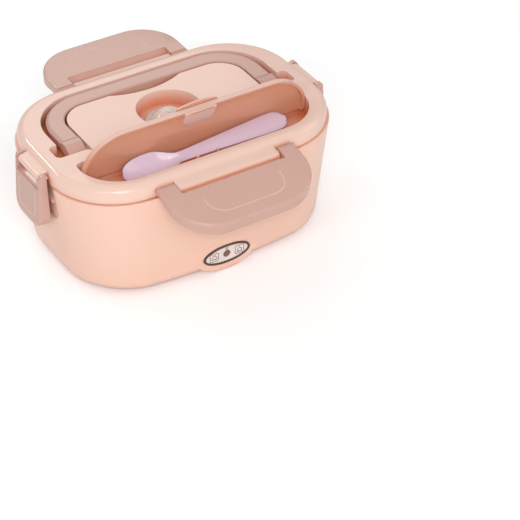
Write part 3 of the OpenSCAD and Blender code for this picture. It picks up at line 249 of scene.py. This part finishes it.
def moulded(
    name, tint, rough=0.38, drift=0.035, grain=0.00003, grain_scale=2600.0,
    soft=0.0, coat=0.0, edge=None, deep=None, hollow=HOLLOW_SHADE, rim=None,
):
    """Injection-moulded plastic: slow drift in colour and gloss, soft edges and a fine eroded grain."""
    made, tree, shader = new_material(name)
    link = tree.links.new
    place = node(tree, "ShaderNodeTexCoord")
    slow = node(tree, "ShaderNodeTexNoise", Scale=16.0, Detail=3.0, Roughness=0.55)
    fine = node(tree, "ShaderNodeTexNoise", Scale=grain_scale, Detail=2.0, Roughness=0.5)
    mix = node(tree, "ShaderNodeMix", data_type="RGBA")
    bump = node(tree, "ShaderNodeBump", Strength=0.2, Distance=grain)
    soft_edge = node(tree, "ShaderNodeBevel", Radius=edge or bpy.context.scene.lunch_box_sizes.edge)
    link(soft_edge.outputs["Normal"], bump.inputs["Normal"])
    link(place.outputs["Object"], slow.inputs["Vector"])
    link(place.outputs["Object"], fine.inputs["Vector"])
    link(slow.outputs["Fac"], mix.inputs["Factor"])
    mix.inputs[6].default_value = (*[c * (1 - drift) for c in tint], 1)
    mix.inputs[7].default_value = (*[min(1, c * (1 + drift)) for c in tint], 1)
    body = mix.outputs[2]
    # Painted shade: the colour turns warm and darker where little open space is around
    if deep:
        body = painted_hollow_shade(tree, place, body, deep, **hollow)
    # Painted light: the rim turns paler
    elif rim:
        body = painted_rim_light(tree, place, body, rim)
    link(body, shader.inputs["Base Color"])
    gloss(tree, shader, slow.outputs["Fac"], rough, GLOSS_SPREAD)
    link(fine.outputs["Fac"], bump.inputs["Height"])
    link(bump.outputs["Normal"], shader.inputs["Normal"])
    shader.inputs["IOR"].default_value = PLASTIC_IOR
    if soft:
        scatter(shader, soft, *PLASTIC_SCATTER)
    if coat:
        shader.inputs["Coat Weight"].default_value = coat
        shader.inputs["Coat Roughness"].default_value = 0.15
    return made


def brushed(name, tint, rough=0.32):
    """Metal with fine brush lines along X."""
    made, tree, shader = new_material(name)
    link = tree.links.new
    place = node(tree, "ShaderNodeTexCoord")
    mapping = node(tree, "ShaderNodeMapping", Scale=BRUSH_SCALE)
    lines = node(tree, "ShaderNodeTexNoise", Scale=1.0, Detail=4.0)
    bump = node(tree, "ShaderNodeBump", Strength=0.2, Distance=0.00003)
    link(place.outputs["Object"], mapping.inputs["Vector"])
    link(mapping.outputs["Vector"], lines.inputs["Vector"])
    gloss(tree, shader, lines.outputs["Fac"], rough, BRUSHED_SPREAD)
    link(lines.outputs["Fac"], bump.inputs["Height"])
    link(bump.outputs["Normal"], shader.inputs["Normal"])
    shader.inputs["Base Color"].default_value = (*tint, 1)
    shader.inputs["Metallic"].default_value = 1.0
    return made


def milky(name, tint, rough, clear, soft):
    """Milky see-through polypropylene or silicone: part glass, part cloudy body."""
    made, tree, shader = new_material(name)
    place = node(tree, "ShaderNodeTexCoord")
    cloud = node(tree, "ShaderNodeTexNoise", Scale=45.0, Detail=2.0)
    tree.links.new(place.outputs["Object"], cloud.inputs["Vector"])
    gloss(tree, shader, cloud.outputs["Fac"], rough, MILKY_SPREAD)
    shader.inputs["Base Color"].default_value = (*tint, 1)
    shader.inputs["Transmission Weight"].default_value = clear
    shader.inputs["IOR"].default_value = MILKY_IOR
    scatter(shader, soft, *MILKY_SCATTER)
    return made


FINISH = {}
# Grain depths of polished and of satin mouldings
POLISHED, SATIN = 0.000008, 0.000015


def make_finishes():
    tint = bpy.context.scene.lunch_box_colours
    clip_edge = bpy.context.scene.lunch_box_sizes.clip_edge
    FINISH.update(
        # The base's hollows get painted warm shade
        base=moulded("apricot_polypropylene", tint.base, rough=0.18, grain=SATIN, deep=tint.deep),
        # The hollows under its deck get painted warm shade
        lid=moulded(
            "pale_apricot_polypropylene", tint.lid, rough=0.1, grain=POLISHED,
            deep=tint.lid_hollow_shade_colour, hollow=LID_HOLLOW_SHADE,
        ),
        liner=moulded("pale_liner_polypropylene", tint.liner, rough=0.36),
        # The hollows of handle and clips get painted warm shade
        rose=moulded(
            "dusty_rose_plastic", tint.rose, rough=0.18, grain=SATIN,
            deep=tint.rose_hollow_shade_colour, edge=clip_edge,
        ),
        # Paler copy of the rose: painted highlight on the beads
        bead=moulded("dusty_rose_bead", tint.bead, rough=0.12, grain=POLISHED),
        # Rose with painted warmth, and a paler painted rim light
        cover=moulded("warm_rose_plastic", tint.cover, rough=0.1, grain=POLISHED, rim=tint.rim),
        cap=moulded("small_lid_rose_plastic", tint.cap, rough=0.4),
        # The spoon's bowl gets painted shade
        spoon=moulded("lilac_spoon_plastic", tint.spoon, rough=0.12, grain=POLISHED, deep=tint.lilac_hollow_shade_colour),
        silicone=milky("milky_silicone", tint.silicone, rough=0.1, clear=0.2, soft=0.6),
        clear=milky("milky_clear_polypropylene", tint.clear, rough=0.14, clear=0.74, soft=0.5),
        seal=moulded("pale_seal_silicone", linear(214, 210, 206), rough=0.6, grain=0.00008),
        foot=moulded("dark_foot_rubber", linear(62, 56, 54), rough=0.8, grain=0.0001, grain_scale=1800.0),
        aluminium=brushed("brushed_aluminium", (0.80, 0.80, 0.82)),
        steel=brushed("plated_steel", (0.62, 0.62, 0.64), rough=0.28),
        nickel=brushed("nickel_pins", (0.80, 0.79, 0.76), rough=0.18),
        ring=moulded("dark_brown_ring_plastic", tint.ring, rough=0.28),
        plate=moulded("grey_pink_panel_plastic", tint.plate, rough=0.4, drift=0.02),
        lens=moulded("tinted_lens", linear(128, 84, 76), rough=0.18, coat=0.6),
        board=moulded("green_board", linear(52, 110, 66), rough=0.45, drift=0.12),
        black=moulded("black_heatproof_plastic", linear(38, 37, 38), rough=0.5),
        ceramic=moulded("glazed_fuse_body", linear(226, 220, 206), rough=0.25),
        wire=moulded("red_silicone_insulation", linear(176, 44, 36), rough=0.5),
        print=moulded("brown_panel_print", tint.print, rough=0.5, drift=0.05),
        frosted=moulded(
            "frosted_rose_pad", tint.frosted, rough=0.24, grain=0.0003, grain_scale=900.0, soft=0.3,
        ),
    )


DRESS = {
    "base_shell": "base", "bottom_cover": "base", "well_liner": "liner", "plate_seal": "seal",
    "heating_plate": "aluminium", "heater_element": "aluminium", "heater_bracket": "steel",
    "bracket_screws": "steel", "cover_screws": "steel", "thermostat": "black", "thermal_fuse": "ceramic",
    "rubber_feet": "foot", "panel_bezel": "ring", "panel_plate": "plate", "led_lens": "lens",
    "indicator_board": "board", "inlet_socket": "black", "inlet_pins": "nickel", "wiring": "wire",
    "lid_shell": "lid", "lid_liner": "liner", "lid_gasket": "seal", "handle": "rose",
    "front_latch": "rose", "rear_latch": "rose", "left_latch": "rose", "right_latch": "rose",
    "spoon_cover": "cover", "spoon": "spoon", "vent_plug": "silicone", "food_container": "clear",
    "container_lid": "cap", "container_plug": "silicone",
}


# ---------------------------------------------------------------- moulded pieces

# Corners of triangles nearer than this are welded, and edges sharper than this stay sharp
WELD = 0.000002
SHARP_ANGLE = math.radians(28)


def smoothing_tree():
    """Geometry nodes that weld a moulding's triangles and shade its curved faces smooth."""
    tree = bpy.data.node_groups.new("smooth_moulding", "GeometryNodeTree")
    face = tree.interface
    face.new_socket("Geometry", in_out="INPUT", socket_type="NodeSocketGeometry")
    weld = face.new_socket("Weld distance", in_out="INPUT", socket_type="NodeSocketFloat")
    weld.default_value = WELD
    sharp = face.new_socket("Sharp angle", in_out="INPUT", socket_type="NodeSocketFloat")
    sharp.default_value = SHARP_ANGLE
    face.new_socket("Geometry", in_out="OUTPUT", socket_type="NodeSocketGeometry")
    link = tree.links.new
    enter = tree.nodes.new("NodeGroupInput")
    leave = tree.nodes.new("NodeGroupOutput")
    merge = tree.nodes.new("GeometryNodeMergeByDistance")
    round_faces = tree.nodes.new("GeometryNodeSetShadeSmooth")
    keep_edges = tree.nodes.new("GeometryNodeSetShadeSmooth")
    keep_edges.domain = "EDGE"
    angle = tree.nodes.new("GeometryNodeInputMeshEdgeAngle")
    test = tree.nodes.new("FunctionNodeCompare")
    test.operation = "GREATER_THAN"
    link(enter.outputs["Geometry"], merge.inputs["Geometry"])
    link(enter.outputs["Weld distance"], merge.inputs["Distance"])
    link(merge.outputs["Geometry"], round_faces.inputs["Geometry"])
    link(angle.outputs["Unsigned Angle"], test.inputs["A"])
    link(enter.outputs["Sharp angle"], test.inputs["B"])
    link(round_faces.outputs["Geometry"], keep_edges.inputs["Geometry"])
    link(test.outputs["Result"], keep_edges.inputs["Selection"])
    keep_edges.inputs["Shade Smooth"].default_value = False
    link(keep_edges.outputs["Geometry"], leave.inputs["Geometry"])
    return tree


class LUNCHBOX_OT_mouldings(bpy.types.Operator):
    """Give every moulded and metal part its finish and smooth its curved faces"""

    bl_idname = "lunchbox.mouldings"
    bl_label = "Dress the mouldings"

    def execute(self, context):
        make_finishes()
        tree = smoothing_tree()
        for name, finish in DRESS.items():
            part = NODES[name]
            part.data.materials.clear()
            part.data.materials.append(FINISH[finish])
            smooth = part.modifiers.new("smooth_moulding", "NODES")
            smooth.node_group = tree
        return {"FINISHED"}


# ---------------------------------------------------------------- drawing on faces


class Face:
    """A flat face of a part: a point on it, the ways across and down it, and the way out of it."""

    def __init__(self, origin, across, down):
        self.origin = Vector(origin)
        self.across = Vector(across)
        self.down = Vector(down)
        self.out = self.down.cross(self.across)

    def at(self, a, d, rise=0.0):
        return self.origin + self.across * a + self.down * d + self.out * rise


# Smallest cosine of half a bend by which the mitre there is still widened
MITRE_LIMIT = 0.4
CORNER_STEPS = 6


def arc(centre, radius, start, end, steps):
    """Points on an arc between two angles in degrees."""
    angles = [math.radians(start + (end - start) * i / steps) for i in range(steps + 1)]
    return [(centre[0] + radius * math.cos(t), centre[1] + radius * math.sin(t)) for t in angles]


def rounded(centre, width, height, radius):
    """Outline of a rounded rectangle."""
    path = []
    for turn, (sx, sy) in enumerate(((1, 1), (-1, 1), (-1, -1), (1, -1))):
        corner = (centre[0] + sx * (width / 2 - radius), centre[1] + sy * (height / 2 - radius))
        path += arc(corner, radius, 90 * turn, 90 * turn + 90, CORNER_STEPS)
    return path


def sweep(face, path, section, closed):
    """Mesh data of a section carried along a path on a face; the section's points are (sideways, rise)."""
    points = [Vector(p) for p in path]
    count, around = len(points), len(section)
    verts, faces = [], []
    for i, point in enumerate(points):
        before = points[i - 1] if closed or i else point
        after = points[(i + 1) % count] if closed or i + 1 < count else point
        onward = (after - before).normalized()
        side = Vector((onward.y, -onward.x))
        into, out_of = point - before, after - point
        if into.length and out_of.length:
            side /= max(MITRE_LIMIT, math.cos(into.angle(out_of) / 2))
        verts += [face.at(*(point + side * off), rise) for off, rise in section]
    for i in range(count if closed else count - 1):
        here, there = i * around, (i + 1) % count * around
        for k in range(around):
            beside = (k + 1) % around
            faces.append((here + k, here + beside, there + beside, there + k))
    if not closed:
        faces += [tuple(range(around))[::-1], tuple(range((count - 1) * around, count * around))]
    return verts, faces


def add_piece(name, parts, finish, body):
    """One piece from several lots of mesh data, riding a body."""
    verts, faces = [], []
    for more_verts, more_faces in parts:
        faces += [tuple(k + len(verts) for k in face) for face in more_faces]
        verts += more_verts
    mesh = bpy.data.meshes.new(name)
    mesh.from_pydata(verts, [], faces)
    tidy = bmesh.new()
    tidy.from_mesh(mesh)
    bmesh.ops.recalc_face_normals(tidy, faces=tidy.faces)
    tidy.to_mesh(mesh)
    tidy.free()
    piece = bpy.data.objects.new(name, mesh)
    bpy.context.scene.collection.objects.link(piece)
    mesh.materials.append(FINISH[finish])
    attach(piece, body)
    return piece


# ---------------------------------------------------------------- panel print

# Place of the frames as a share of the panel's half width, and their height and corner per width
FRAME_REACH = 0.60
FRAME_HEIGHT = 0.94
FRAME_CORNER = 0.16
# A small car on the left and a house on the right, for the two kinds of supply, on a grid of steps
DRAWING_STEP = 0.15
CAR = [(-2, 1.4), (-2, 0), (-1.2, -0.3), (-0.8, -1.6), (0.8, -1.6), (1.2, -0.3), (2, 0), (2, 1.4)]
HOUSE = [(-1.6, 1.7), (-1.6, -0.2), (0, -1.7), (1.6, -0.2), (1.6, 1.7)]
# Standby sign above the light: its height as a share of the panel's half height, its ring and its bar
SIGN_HEIGHT = 0.745
SIGN_ANGLES = (-50, 230)
SIGN_STEPS = 24
SIGN_BAR = (-1.25, -0.1)


class LUNCHBOX_OT_panel_print(bpy.types.Operator):
    """Print the two framed symbols and the standby sign on the panel"""

    bl_idname = "lunchbox.panel_print"
    bl_label = "Print the panel"

    def execute(self, context):
        sizes = context.scene.lunch_box_sizes
        low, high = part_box("panel_plate")
        middle = ((low[0] + high[0]) / 2, (low[2] + high[2]) / 2)
        panel = Face((middle[0], low[1], middle[1]), (1, 0, 0), (0, 0, -1))
        line, film, size, ring = sizes.line, sizes.film, sizes.symbol, sizes.sign
        section = [(-line / 2, -film), (line / 2, -film), (line / 2, film), (-line / 2, film)]
        reach = FRAME_REACH * (high[0] - low[0]) / 2
        step = size * DRAWING_STEP
        parts = []

        def draw(path, closed=False):
            parts.append(sweep(panel, path, section, closed))

        for side in (-1, 1):
            draw(rounded((side * reach, 0), size, size * FRAME_HEIGHT, size * FRAME_CORNER), closed=True)
        for side, shape in ((-1, CAR), (1, HOUSE)):
            draw([(side * reach + x * step, y * step) for x, y in shape], closed=True)
        sign = (0, -SIGN_HEIGHT * (high[2] - low[2]) / 2)
        draw(arc(sign, ring, *SIGN_ANGLES, SIGN_STEPS))
        draw([(sign[0], sign[1] + ring * end) for end in SIGN_BAR])
        add_piece("panel_print", parts, "print", "base")
        return {"FINISHED"}


# ---------------------------------------------------------------- beads on the clips

# Joint, body, quarter turns round the lid, opening from the vertical in degrees, and the bead's half width,
# end and corner radius
CLIP_BEADS = {
    "front": ("front_latch_hinge", "front_latch", 0, 76.0, 0.031, 0.0362, 0.013),
    "rear": ("rear_latch_hinge", "rear_latch", 2, 91.0, 0.031, 0.0362, 0.013),
    "right": ("right_latch_hinge", "right_latch", 1, 3.5, 0.0125, 0.0350, 0.005),
    "left": ("left_latch_hinge", "left_latch", 3, 3.5, 0.0125, 0.0350, 0.005),
}
CLIP_FACE_OUT = 0.004
CLIP_BEAD_START = 0.0135
BEAD_SIDES = 8
# Share of its radius by which the bead is sunk into the face
BEAD_SUNK = 0.5
BEAD_STEPS = 12


class LUNCHBOX_OT_clip_beads(bpy.types.Operator):
    """Raise a fine bead on the face of every clip"""

    bl_idname = "lunchbox.clip_beads"
    bl_label = "Raise the clip beads"

    def execute(self, context):
        radius = context.scene.lunch_box_sizes.bead
        turns_round = [2 * math.pi * k / BEAD_SIDES for k in range(BEAD_SIDES)]
        section = [(radius * math.cos(t), radius * (math.sin(t) - BEAD_SUNK)) for t in turns_round]
        for name, (joint, body, turns, angle, half, end, corner) in CLIP_BEADS.items():
            spin = Matrix.Rotation(math.radians(90 * turns), 3, "Z")
            slope = math.radians(angle)
            pivot = Vector(JOINTS[joint]["pos_m"])
            across = spin @ Vector((1, 0, 0))
            down = spin @ Vector((0, -math.sin(slope), -math.cos(slope)))
            face = Face(pivot, across, down)
            face.origin = face.at(0, 0, CLIP_FACE_OUT)
            path = [(-half, CLIP_BEAD_START)]
            path += arc((corner - half, end - corner), corner, 180, 90, BEAD_STEPS)
            path += arc((half - corner, end - corner), corner, 90, 0, BEAD_STEPS)
            path += [(half, CLIP_BEAD_START)]
            bead = add_piece(name + "_clip_bead", [sweep(face, path, section, False)], "bead", body)
            bead.data.shade_smooth()
        return {"FINISHED"}


# ---------------------------------------------------------------- pad of the spoon cover

# Depth of the cover's inner face behind its hinge line, and how far the pad is sunk into the cover
COVER_FACE = 0.0006
PAD_SUNK = 0.0002
PAD_BEVEL_STEPS = 3
# Half widths of the pad, their distances from the hinge, and how far the pad stands out there
PAD_STATIONS = [(0.0088, 0.0132, 0.0009), (0.0122, 0.0170, 0.0018), (0.0128, 0.0276, 0.0044)]


class LUNCHBOX_OT_cover_pad(bpy.types.Operator):
    """Set the frosted pad under the thumb tab of the spoon cover"""

    bl_idname = "lunchbox.cover_pad"
    bl_label = "Set the cover pad"

    def execute(self, context):
        pivot = Vector(JOINTS["cover_hinge"]["pos_m"])
        away = Vector(RIM_WAY)
        inner = Vector((0, -away.z, away.y))
        outline = PAD_STATIONS + [(-half, far, proud) for half, far, proud in reversed(PAD_STATIONS)]

        def place(half, far, proud):
            return pivot + Vector((half, 0, 0)) + away * far + inner * (proud - COVER_FACE)

        bottom = [place(half, far, -PAD_SUNK) for half, far, _ in outline]
        top = [place(*station) for station in outline]
        count = len(outline)
        faces = [tuple(range(count)), tuple(range(count, 2 * count))[::-1]]
        faces += [(k, (k + 1) % count, count + (k + 1) % count, count + k) for k in range(count)]
        pad = add_piece("cover_pad", [(bottom + top, faces)], "frosted", "spoon_cover")
        bevel = pad.modifiers.new("soft_edge", "BEVEL")
        bevel.width = context.scene.lunch_box_sizes.pad
        bevel.segments = PAD_BEVEL_STEPS
        return {"FINISHED"}


# ---------------------------------------------------------------- stage

# Just under the soles, so that the two don't share a plane
FLOOR = -0.0001
FLOOR_REACH = 4
FLOOR_GREYS = (0.90, 0.93)
# Name, place, size, height (None for a round lamp) and the setting with its power; all aim at one point
LAMPS = (
    ("key_lamp", (-0.45, -1.15, 0.9), 0.8, None, "key"),
    ("strip_lamp_left", (-0.95, -0.75, 0.95), 0.34, 0.03, "strip"),
    ("strip_lamp_right", (-0.55, -1.05, 0.95), 0.34, 0.03, "strip"),
    ("strip_lamp_rear", (-0.55, 0.95, 0.85), 0.5, 0.04, "strip"),
    ("rear_lamp", (0.3, 1.1, 1.1), 1.0, None, "fill"),
    ("right_lamp", (1.25, -0.55, 0.75), 0.9, None, "fill"),
)
LAMP_AIM = (0, 0, 0.05)
CAMERA_PLACE = (-0.5939, -1.0766, 0.8924)
# Where the camera stands seen from the part: turn from the front and rise, in degrees
CAMERA_TURN, CAMERA_RISE = -31.844, 37.221
CAMERA_LENS, CAMERA_SENSOR = 138.63, 36.0
CAMERA_CLIP = (0.05, 20.0)
WHITE = (1, 1, 1, 1)


def aim(thing, place, way):
    """Put a lamp or a camera in its place, looking along a way."""
    thing.location = place
    thing.rotation_mode = "QUATERNION"
    thing.rotation_quaternion = way.to_track_quat("-Z", "Y")


def floor_finish(glow_strength):
    """White floor that keeps the shadow: lit paint, seen a little brighter by the camera."""
    made, tree, shader = new_material("white_floor")
    link = tree.links.new
    place = node(tree, "ShaderNodeTexCoord")
    speck = node(tree, "ShaderNodeTexNoise", Scale=6.0, Detail=2.0)
    mix = node(tree, "ShaderNodeMix", data_type="RGBA")
    for socket, grey in zip((6, 7), FLOOR_GREYS):
        mix.inputs[socket].default_value = (grey, grey, grey, 1)
    link(place.outputs["Object"], speck.inputs["Vector"])
    link(speck.outputs["Fac"], mix.inputs["Factor"])
    link(mix.outputs[2], shader.inputs["Base Color"])
    shader.inputs["Roughness"].default_value = 0.9
    glow = node(tree, "ShaderNodeEmission", Color=WHITE)
    path = node(tree, "ShaderNodeLightPath")
    scale = node(tree, "ShaderNodeMath", operation="MULTIPLY")
    scale.inputs[1].default_value = glow_strength
    both = node(tree, "ShaderNodeAddShader")
    link(path.outputs["Is Camera Ray"], scale.inputs[0])
    link(scale.outputs[0], glow.inputs["Strength"])
    link(shader.outputs[0], both.inputs[0])
    link(glow.outputs[0], both.inputs[1])
    link(both.outputs[0], tree.nodes["Material Output"].inputs["Surface"])
    return made


def make_world(sky_strength):
    """Even pale light, seen as white by the camera and through clear parts."""
    world = bpy.data.worlds.new("pale_studio")
    world.use_nodes = True
    tree = world.node_tree
    link = tree.links.new
    sky = tree.nodes["Background"]
    sky.inputs["Color"].default_value = WHITE
    sky.inputs["Strength"].default_value = sky_strength
    seen = node(tree, "ShaderNodeBackground", Color=WHITE)
    path = node(tree, "ShaderNodeLightPath")
    either = node(tree, "ShaderNodeMath", operation="MAXIMUM")
    mix = node(tree, "ShaderNodeMixShader")
    link(path.outputs["Is Camera Ray"], either.inputs[0])
    link(path.outputs["Is Transmission Ray"], either.inputs[1])
    link(either.outputs[0], mix.inputs[0])
    link(sky.outputs[0], mix.inputs[1])
    link(seen.outputs[0], mix.inputs[2])
    link(mix.outputs[0], tree.nodes["World Output"].inputs[0])
    return world


class LUNCHBOX_OT_stage(bpy.types.Operator):
    """Set out the floor, the soft lamps and the camera"""

    bl_idname = "lunchbox.stage"
    bl_label = "Set the stage"

    def execute(self, context):
        scene = context.scene
        scene.view_settings.view_transform = "Standard"
        settings = scene.lunch_box_stage

        mesh = bpy.data.meshes.new("studio_floor")
        corners = [(x * FLOOR_REACH, y * FLOOR_REACH, FLOOR) for x, y in ((-1, -1), (1, -1), (1, 1), (-1, 1))]
        mesh.from_pydata(corners, [], [(0, 1, 2, 3)])
        mesh.materials.append(floor_finish(settings.glow))
        floor = bpy.data.objects.new("studio_floor", mesh)
        scene.collection.objects.link(floor)

        for name, place, size, height, setting in LAMPS:
            data = bpy.data.lights.new(name, "AREA")
            data.shape = "RECTANGLE" if height else "DISK"
            data.size = size
            if height:
                data.size_y = height
            data.energy = getattr(settings, setting)
            lamp = bpy.data.objects.new(name, data)
            scene.collection.objects.link(lamp)
            aim(lamp, place, Vector(LAMP_AIM) - Vector(place))

        scene.world = make_world(settings.sky)

        data = bpy.data.cameras.new("studio_camera")
        data.sensor_width = CAMERA_SENSOR
        data.lens = CAMERA_LENS
        data.clip_start, data.clip_end = CAMERA_CLIP
        camera = bpy.data.objects.new("studio_camera", data)
        scene.collection.objects.link(camera)
        scene.camera = camera
        turn, rise = math.radians(CAMERA_TURN), math.radians(CAMERA_RISE)
        back = Vector((math.sin(turn) * math.cos(rise), -math.cos(turn) * math.cos(rise), math.sin(rise)))
        aim(camera, CAMERA_PLACE, -back)
        return {"FINISHED"}


# ---------------------------------------------------------------- panel and start


class LUNCHBOX_PT_sidebar(bpy.types.Panel):
    """Lunch box tools"""

    bl_idname = "LUNCHBOX_PT_sidebar"
    bl_label = "Lunch Box"
    bl_space_type = "VIEW_3D"
    bl_region_type = "UI"
    bl_category = "Lunch Box"

    def draw(self, context):
        for group in GROUPS:
            settings = getattr(context.scene, group)
            box = self.layout.box()
            for name in settings.__annotations__:
                box.prop(settings, name)
        for step in STEPS:
            self.layout.operator(step.bl_idname)


STEPS = (
    LUNCHBOX_OT_mouldings,
    LUNCHBOX_OT_panel_print,
    LUNCHBOX_OT_clip_beads,
    LUNCHBOX_OT_cover_pad,
    LUNCHBOX_OT_stage,
)
GROUPS = {
    "lunch_box_colours": LunchBoxColours,
    "lunch_box_sizes": LunchBoxSizes,
    "lunch_box_stage": LunchBoxStage,
}


def register():
    for cls in (*GROUPS.values(), *STEPS, LUNCHBOX_PT_sidebar):
        bpy.utils.register_class(cls)
    for name, cls in GROUPS.items():
        setattr(bpy.types.Scene, name, bpy.props.PointerProperty(type=cls))


def unregister():
    for name in GROUPS:
        delattr(bpy.types.Scene, name)
    for cls in (LUNCHBOX_PT_sidebar, *reversed(STEPS), *GROUPS.values()):
        bpy.utils.unregister_class(cls)


def main():
    register()
    for step in STEPS:
        area, name = step.bl_idname.split(".")
        getattr(getattr(bpy.ops, area), name)()


if __name__ == "__main__":
    main()
